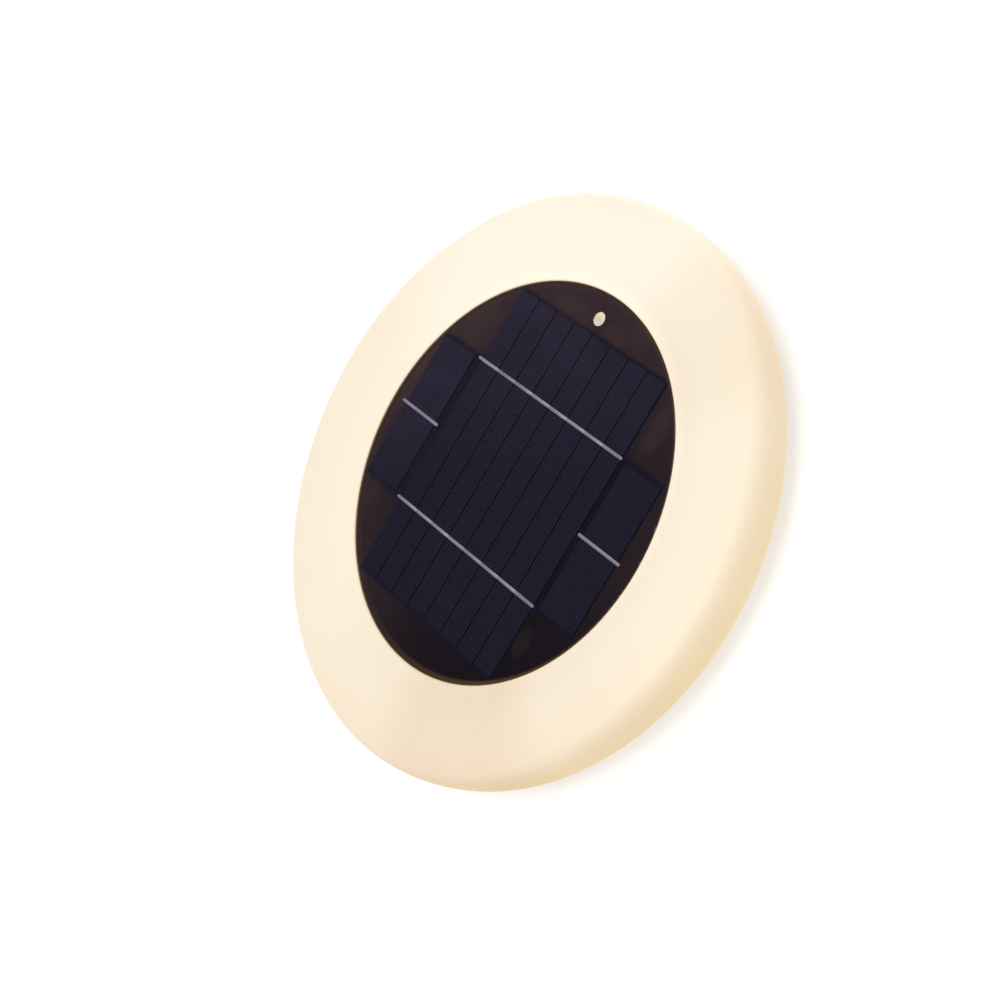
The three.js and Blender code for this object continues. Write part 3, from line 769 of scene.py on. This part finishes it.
def build_panel():
    window, window_r = build_window()
    lens_fit = 0.03 * MM  # the board closes up to the lens, so that no light shows round it
    sheet_z = low("panel_laminate").z
    sheet = plate_with_hole(PANEL_R, window_r + GAP, window, sheet_z, PANEL_Z, 0.2 * MM)
    finish_piece(
        loose_object("laminate_sheet", sheet), laminate_material(), "clear_laminate",
        "panel_laminate", smooth_under=FLAT_PLATE)
    board_low, board_top = low("panel_backing").z, high("panel_backing").z
    board = plate_with_hole(
        PANEL_R, window_r + lens_fit, window, board_low, board_top, 0.1 * MM)
    finish_piece(
        loose_object("panel_board", board), backing_material(), "panel_backing",
        "panel_backing", smooth_under=FLAT_PLATE)
    # A dark bead in the gap round the panel: painted shade in that gap.
    inner, outer = PANEL_R / MM + 0.03, PANEL_R / MM + 0.27
    foot, top = low("panel_seal").z / MM, PANEL_Z / MM - 0.35
    bead = lathe([(inner, foot), (outer, foot), (outer, top), (inner, top)], 256)
    finish_piece(loose_object("gap_shade_fill", bead), gap_shade_material(), "rubber")
    paint(silicon_material(), *STRIPS, *SIDE_CELLS)
    build_fingers()
    build_ribbons()


# ---- plastics, metals and rubbers ----------------------------------------------------------------


def moulded(name, dark, light, roughness=0.5, grain=1400, depth=0.15):
    """Moulded plastic with a spark-eroded grain and slightly uneven gloss."""
    s = Surface(name)
    s.feed("Base Color", s.tones(s.noise(35, 3), dark, light))
    s.feed("Roughness", s.between(s.noise(120, 2), 0.3, 0.7, roughness - 0.07, roughness + 0.07))
    s.bump(s.noise(grain, 2), depth, 0.1 * MM)
    return s.material


def steel_material():
    s = Surface("stainless_screw", Metallic=1.0)
    marks = s.noise(900, 3, (1, 1, 0.2))
    s.feed("Base Color", s.tones(marks, (0.42, 0.42, 0.43), (0.62, 0.62, 0.63)))
    s.feed("Roughness", s.between(marks, 0.3, 0.7, 0.25, 0.42))
    return s.material


def lamp_material():
    s = Surface("led_phosphor", Roughness=0.3, Emission_Strength=3.0)
    s.feed("Base Color", s.tones(s.noise(300), (0.8, 0.6, 0.2), (0.9, 0.75, 0.3)))
    s.shader.inputs["Emission Color"].default_value = (1.0, 0.85, 0.6, 1)
    return s.material


def paint_the_inside():
    paint(moulded("chassis_plastic", (0.66, 0.65, 0.60), (0.72, 0.71, 0.66)), "chassis")
    black = moulded("black_plastic", (0.012, 0.012, 0.013), (0.024, 0.024, 0.025), 0.45)
    paint(black, "ir_receiver", "tact_switch", "switch_plunger", "charging_jack")
    sleeve = moulded("battery_sleeve", (0.03, 0.14, 0.30), (0.05, 0.20, 0.38), 0.35)
    paint(sleeve, "battery_cell_1", "battery_cell_2")
    paint(moulded("board_mask", (0.01, 0.07, 0.035), (0.02, 0.11, 0.055), 0.35), "control_board")
    paint(moulded("strip_mask", (0.75, 0.75, 0.72), (0.82, 0.82, 0.79), 0.4), "led_strip")
    red = moulded("red_lead", (0.45, 0.02, 0.015), (0.55, 0.035, 0.02), 0.4)
    paint(red, "panel_lead_red", "battery_lead")
    dark = moulded("black_lead", (0.015, 0.015, 0.016), (0.03, 0.03, 0.031), 0.4)
    paint(dark, "panel_lead_black", "led_lead", "receiver_lead")
    paint(lamp_material(), *LAMPS)


# ---- the underside -------------------------------------------------------------------------------
# PORT and BUTTON are places in metres. The sizes are in millimetres.

PORT = axis("port_cap")
BUTTON = axis("power_button")
COVER_FACE = COVER_Z / MM
COVER_TOP = GASKET_LOW / MM - 0.3
DISH_FACE = COVER_FACE + 0.6  # the set-back middle of the cover's outer face
RECESS_R, RECESS_TOP = 9.9, 9.6  # the port's recess
BORE_R = 5.95
COLLAR_R, COLLAR_TOP = 12, 14.8  # the tube round the port's thread
BUTTON_R = 6.8


def cover_outline():
    """The cover's half section: a set-back middle with two low beads, and a locating rib inside."""
    face, top, dish, edge = COVER_FACE, COVER_TOP, DISH_FACE, COVER_R / MM
    dish_r, step_r = 62, 64
    groove, groove_depth = 78, 0.35
    rib_in, rib_out, rib_top = 74, 76, top + 4
    outline = [(0, dish)]
    for bead in (22, 28):
        crown = dish - 0.35
        outline += [(bead, dish, 0.2), (bead + 0.4, crown, 0.2), (bead + 1.2, crown, 0.2),
                    (bead + 1.6, dish, 0.2)]
    outline += [(dish_r, dish, 0.5), (step_r, face, 0.5), (groove, face, 0.15),
                (groove + 0.4, face + groove_depth, 0.1), (groove + 1, face + groove_depth, 0.1),
                (groove + 1.4, face, 0.15), (edge, face, 0.6), (edge, top)]
    outline += [(rib_out, top), (rib_out, rib_top, 0.3), (rib_in, rib_top, 0.3), (rib_in, top),
                (0, top)]
    return outline


def add_to_cover(cover, face, top):
    """The collar and the lip round the port, the guard round the button, and the screw bosses."""
    guard_in, guard_out, guard_top = 9.5, 11.3, top + 2.4
    guard = lathe([(guard_in, top - 1), (guard_out, top - 1), (guard_out, guard_top),
                   (guard_in, guard_top)], 64, BUTTON)
    boss_r, boss_top = 3.2, top + 1.8
    bosses = [rod(boss_r, top - 1, boss_top, axis(node), 32) for node in CHASSIS_SCREWS]
    lip_r, lip_z = 11.2, face - 0.1
    lip = lathe([(RECESS_R, lip_z, 0.1), (lip_r, lip_z, 0.25), (lip_r + 0.3, face + 1),
                 (RECESS_R, face + 1)], 96, PORT)
    collar = rod(COLLAR_R, face + 1, COLLAR_TOP, PORT)
    carve(cover, "UNION", merged([collar, guard, *bosses]), lip)


def cut_from_cover(cover, face, top):
    """The port's recess and threaded bore, the button's dish and hole, and the screws' holes."""
    hole_r, pilot_r, seat_r, seat_top = 1.7, 1.4, 3.1, face + 1.7
    holes = [rod(hole_r, face - 1, top + 1, axis(node), 32) for node in COVER_SCREWS]
    seat = [(0, face - 1), (seat_r + 1, face - 1), (seat_r, face + 0.1), (seat_r, seat_top),
            (0, seat_top)]
    counterbores = [lathe(seat, 48, axis(node)) for node in COVER_SCREWS]
    pilots = [rod(pilot_r, face + 1.4, top + 3, axis(node), 24) for node in CHASSIS_SCREWS]
    dish_r, dish_z = 10.9, face + 1.2
    dish = lathe([(0, face - 1), (dish_r, face - 1), (dish_r - 0.4, face + 0.15, 0.4),
                  (8.2, dish_z, 0.6), (0, dish_z)], 96, BUTTON)
    recess = rod(RECESS_R, face - 1, RECESS_TOP, PORT, 96)
    bore = rod(BORE_R, RECESS_TOP - 1, COLLAR_TOP + 1, PORT, 96)
    button_hole = rod(BUTTON_R + 0.3, face - 1, top + 1, BUTTON, 96)
    carve(
        cover, "DIFFERENCE", merged([recess, dish, *counterbores, *pilots]),
        merged([bore, button_hole, *holes]), female_thread())


def build_cover():
    cover = loose_object("underside_cover", lathe(cover_outline(), 192))
    add_to_cover(cover, COVER_FACE, COVER_TOP)
    cut_from_cover(cover, COVER_FACE, COVER_TOP)
    plastic = moulded("cover_plastic", (0.60, 0.57, 0.50), (0.68, 0.65, 0.58))
    finish_piece(cover, plastic, "cover_plastic", "bottom_cover")
    turn_marks(moulded("cover_marks", (0.50, 0.47, 0.40), (0.56, 0.53, 0.46)))


def turn_marks(material):
    """Two raised arrows beside the port that show which way the cap turns."""
    low_z, top_z = DISH_FACE - 0.2, DISH_FACE + 0.3
    shaft_in, shaft_out, wing_in, wing_out = 12.6, 13.3, 11.9, 14.0
    marks = []
    for start in (20, 200):
        marks.append(prism(band(shaft_in, shaft_out, start, start + 26), low_z, top_z, PORT))
        tip = polar((shaft_in + shaft_out) / 2, start + 31)
        head = [polar(wing_in, start + 25), polar(wing_out, start + 25), tip]
        marks.append(prism(head, low_z, top_z, PORT))
    finish_piece(loose_object("cap_arrows", merged(marks)), material, "cover_plastic")


# The thread: pitch, core and crest radius and the height where it starts, in millimetres.
PITCH, CORE, CREST, THREAD_Z = 2.0, 5.6, 6.4, 10.5


def thread(root, tip, root_half, tip_half, z0, turns, at, fade=0.0, sides=64):
    """A right-hand helical ridge. Its ends sink to the root over fade, a share of a turn."""
    bm = bmesh.new()
    steps = int(turns * sides)
    rings = []
    for i in range(steps + 1):
        a = 2 * math.pi * i / sides
        x, y = math.cos(a), math.sin(a)
        near_end = min(i, steps - i) / sides
        rise = min(1.0, near_end / fade) if fade else 1.0
        crest = root + (tip - root) * max(rise, 0.03)
        z = z0 + PITCH * i / sides
        corners = ((root, -root_half), (crest, -tip_half), (crest, tip_half), (root, root_half))
        rings.append([
            bm.verts.new((at[0] + r * MM * x, at[1] + r * MM * y, (z + dz) * MM))
            for r, dz in corners
        ])
    skin(bm, rings)
    bm.faces.new(rings[0])
    bm.faces.new(rings[-1])
    return bm


def female_thread():
    """The cutter for the port's thread: the cap's ridge with room to turn."""
    return thread(CORE, CREST + 0.35, 0.95, 0.55, THREAD_Z - PITCH, 3, PORT)


def build_cap():
    """The screw cap: a coin slot, 12 flutes round its head, and its threaded stem."""
    face, tip = low("port_cap").z / MM, COLLAR_TOP - 0.4
    under, head = RECESS_TOP - 2.2, RECESS_R - 0.6
    outline = [(0, face + 0.15), (4.4, face + 0.15, 0.3), (5.0, face, 0.3), (head, face, 0.9),
               (head, under, 0.3), (CORE, under, 0.2), (CORE, tip, 0.7), (0, tip)]
    cap = loose_object("screw_cap", lathe(outline, 144, PORT))
    flute_r, first, last = 1.1, 16.2, 346.2  # clear of the lathe's own edges, so all cuts are clean
    flutes = [
        rod(flute_r, face - 1, under + 0.1, (PORT[0] + x * MM, PORT[1] + y * MM), 24)
        for x, y in arc(head + 0.5, first, last, 11)
    ]
    slot = prism(capsule(13, 2.2), face - 1, face + 1.6, PORT)
    carve(cap, "DIFFERENCE", slot, *flutes)
    carve(cap, "UNION", thread(CORE - 0.3, CREST, 0.65, 0.25, THREAD_Z, 1.8, PORT, fade=0.2))
    plastic = moulded("cap_plastic", (0.16, 0.17, 0.18), (0.21, 0.22, 0.23))
    finish_piece(cap, plastic, "grey_plastic", "port_cap", body="port_cap")


def build_button():
    """The silicone button, with a dished face, a flange behind the cover, and a printed sign."""
    face, top = heights("power_button")
    flange, flange_z, stem = 9, GASKET_LOW / MM, 2.5
    flange_top = flange_z + 1.2
    outline = [(0, face + 0.35), (4.3, face + 0.3, 0.6), (5.1, face, 0.4),
               (BUTTON_R, face + 0.15, 0.7), (BUTTON_R, flange_z), (flange, flange_z, 0.2),
               (flange, flange_top, 0.2), (stem, flange_top, 0.2), (stem, top, 0.4), (0, top)]
    silicone = moulded("button_silicone", (0.20, 0.21, 0.22), (0.26, 0.27, 0.28), 0.65)
    dome = loose_object("silicone_button", lathe(outline, 96, BUTTON))
    finish_piece(dome, silicone, "silicone", "power_button", body="power_button")
    open_ring = band(1.9, 2.4, 125, 415)
    bar = [(-0.25, 0.9), (0.25, 0.9), (0.25, 2.9), (-0.25, 2.9)]
    sign = [prism(outline, face + 0.1, face + 0.6, BUTTON) for outline in (open_ring, bar)]
    white = moulded("sign_print", (0.62, 0.62, 0.60), (0.70, 0.70, 0.68), 0.55)
    finish_piece(loose_object("power_sign", merged(sign)), white, "silicone", body="power_button")


def build_screws(steel):
    """Pan-head screws that point up, each with a tapered cross recess."""
    head, shaft = 2.8, 1.1
    for i, node in enumerate(COVER_SCREWS):
        at = axis(node)
        face, tip = heights(node)
        under = face + 1.4
        outline = [(0, face), (head, face, 0.6), (head, under), (shaft, under, 0.15),
                   (shaft, tip - 1.2, 0.2), (0, tip)]
        screw = loose_object(f"pan_screw_{i + 1}", lathe(outline, 64, at))
        turn = 0.35 + 0.9 * i  # each screw stopped at its own angle
        cross = [prism(capsule(3.0, 0.8), face - 1, face + 0.7, at, turn + quarter)
                 for quarter in (0, math.pi / 2)]
        carve(screw, "DIFFERENCE", *cross)
        finish_piece(screw, steel, "screw_steel", node)


def build_feet(rubber):
    """Rubber feet with a hollowed tread, sunk into their pockets."""
    hollow = 0.5
    tread = [(0, hollow), (2.2, hollow, 0.2), (2.6, 0.1, 0.2), (3.4, 0.1, 0.2),
             (3.8, hollow, 0.2), (4.9, hollow, 0.2), (5.3, 0, 0.2)]
    for i, node in enumerate(FEET):
        at, top = axis(node), heights(node)[1]
        r = (high(node).x - at[0]) / MM
        outline = [*tread, (r - 1, 0, 0.3), (r, 1, 0.5), (r, top, 0.2), (0, top)]
        foot = loose_object(f"rubber_foot_{i + 1}", lathe(outline, 96, at))
        finish_piece(foot, rubber, "rubber", node)


def build_seal(rubber):
    """The O-ring under the cap's head."""
    at, half = centre("port_o_ring"), (high("port_o_ring").z - low("port_o_ring").z) / 2 / MM
    middle = (high("port_o_ring").x - at.x) / MM - half
    section = [(middle + x, at.z / MM + y) for x, y in arc(half, 0, 345, 23)]
    ring = loose_object("cap_seal_ring", lathe(section, 128, (at.x, at.y)))
    finish_piece(ring, rubber, "rubber", "port_o_ring", body="cap_seal")


def build_underside():
    rubber = moulded(
        "moulded_rubber", (0.020, 0.020, 0.022), (0.035, 0.035, 0.037), 0.75, 2200, 0.3)
    steel = steel_material()
    build_cover()
    build_cap()
    build_button()
    build_screws(steel)
    build_feet(rubber)
    build_seal(rubber)
    paint(rubber, "panel_seal", "cover_gasket")
    paint(steel, *CHASSIS_SCREWS)


# ---- floor and light -----------------------------------------------------------------------------


FLOOR_HALF = 8  # metres
# The studio's brightness by height, from just above level (0) to overhead (0.5 and more).
WALL_LEVELS = ((0.08, 1.0), (0.3, 0.45), (0.5, 0.2))
# The lamps: direction towards the lamp, spread in degrees, strength.
SUNS = {"key": ((0.08, -0.02, 1.0), 50, 3.1), "fill": ((-0.3, -0.45, 1.0), 40, 1.0)}


def floor_material():
    """A pale table, softly lit from below so that the shadow under the light stays faint."""
    s = Surface("lit_table", Roughness=0.8, Specular_IOR_Level=0.0, Emission_Strength=1.0)
    s.feed("Base Color", s.tones(s.noise(3, 2), (0.41, 0.41, 0.41), (0.43, 0.43, 0.43)))
    s.shader.inputs["Emission Color"].default_value = (0.56, 0.56, 0.56, 1)
    return s.material


def add_floor():
    bm = bmesh.new()
    bmesh.ops.create_grid(bm, x_segments=1, y_segments=1, size=FLOOR_HALF)
    floor = loose_object("floor", bm)
    floor.data.materials.append(floor_material())


def add_world():
    """A studio with bright walls and a dim ceiling, so that the panel stays dark from above."""
    world = bpy.data.worlds.new("studio")
    world.use_nodes = True
    tree = world.node_tree
    place = tree.nodes.new("ShaderNodeTexCoord")
    split = tree.nodes.new("ShaderNodeSeparateXYZ")
    walls = tree.nodes.new("ShaderNodeValToRGB")
    tree.links.new(place.outputs["Generated"], split.inputs[0])
    tree.links.new(split.outputs["Z"], walls.inputs[0])
    tree.links.new(walls.outputs[0], tree.nodes["Background"].inputs["Color"])
    elements = walls.color_ramp.elements
    elements.new(0.5)
    for element, (at, level) in zip(elements, WALL_LEVELS):
        element.position = at
        element.color = (level, level, level, 1)
    bpy.context.scene.world = world


def add_sun(name, direction, spread, strength):
    data = bpy.data.lights.new(name, "SUN")
    data.angle = math.radians(spread)
    data.energy = strength
    lamp = bpy.data.objects.new(name, data)
    lamp.rotation_mode = "QUATERNION"
    lamp.rotation_quaternion = (-Vector(direction)).to_track_quat("-Z", "Y")
    bpy.context.scene.collection.objects.link(lamp)


def add_studio():
    add_floor()
    add_world()
    for name, values in SUNS.items():
        add_sun(name, *values)
    settings = bpy.context.scene.view_settings
    settings.view_transform = "Standard"
    settings.look = "None"


add_camera()
build_shell()
build_panel()
build_underside()
paint_the_inside()
add_studio()
